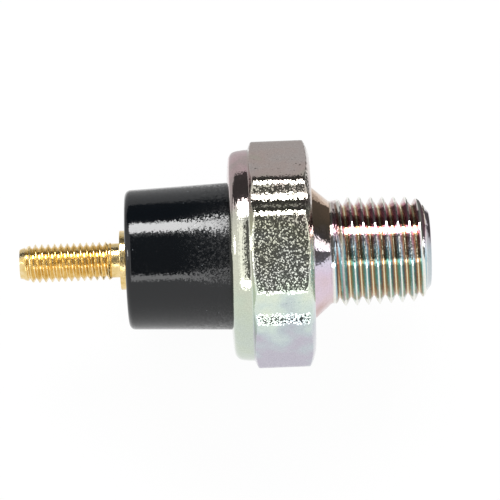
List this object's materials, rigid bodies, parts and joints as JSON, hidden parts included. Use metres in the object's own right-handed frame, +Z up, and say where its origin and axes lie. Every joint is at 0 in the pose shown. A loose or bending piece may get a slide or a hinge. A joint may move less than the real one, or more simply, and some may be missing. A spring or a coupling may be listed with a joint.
{
  "type": "oil pressure sender",
  "caption": "Engine oil pressure sender: plated steel hexagon body with taper pipe thread, black insulating cap and brass stud terminal.",
  "frame": {"origin": "on the pipe thread's axis, in the hexagon's face on the thread side", "axes": "+X along the axis towards the pipe thread's nose, +Z up with the sender lying on one flat of its hexagon"},
  "size_m": [0.0509, 0.028, 0.027],
  "materials": {
    "zinc_plated_steel": "zinc plated with clear chromate tints, satin",
    "plain_steel": "plain stamped steel",
    "spring_steel": "drawn wire",
    "yellow_brass": "machined yellow brass",
    "phosphor_bronze": "rolled sheet",
    "black_phenolic": "moulded phenolic, satin gloss",
    "brown_laminate": "paper laminate",
    "resistance_wire": "wound resistance wire",
    "nitrile_rubber": "matte rubber"
  },
  "bodies": {
    "sender_body": {"housing": "zinc_plated_steel", "insulating_cap": "black_phenolic", "terminal_stud": "yellow_brass", "port_restrictor": "yellow_brass", "diaphragm_seal": "nitrile_rubber", "diaphragm": "phosphor_bronze", "support_ring": "plain_steel", "base_plate": "plain_steel", "cap_gasket": "nitrile_rubber", "return_spring": "spring_steel", "lever_bracket": "plain_steel", "bracket_rivets": "plain_steel", "pivot_pin": "spring_steel", "lever_spring": "spring_steel", "resistor_former": "brown_laminate", "resistance_winding": "resistance_wire", "winding_clip": "yellow_brass", "contact_strap": "phosphor_bronze", "strap_washer": "yellow_brass"},
    "pusher_body": {"pusher": "yellow_brass"},
    "lever_body": {"lever": "plain_steel", "wiper": "phosphor_bronze", "wiper_rivet": "yellow_brass"}
  },
  "joints": [
    {"name": "pusher_slide", "type": "slide", "parent": "sender_body", "child": "pusher_body", "axis": [-1, 0, 0], "range_m": [0, 0.001], "stiffness_N_per_m": 2000, "deforming": ["return_spring", "diaphragm"]},
    {"name": "lever_pivot", "type": "hinge", "parent": "sender_body", "child": "lever_body", "pos_m": [-0.01155, 0, 0.00255], "axis": [0, 1, 0], "range_deg": [0, 22.18], "deforming": ["lever_spring"]}
  ],
  "couplings": [
    {"joint": "lever_pivot", "follows": "pusher_slide", "rad_per_m": 387.03}
  ]
}
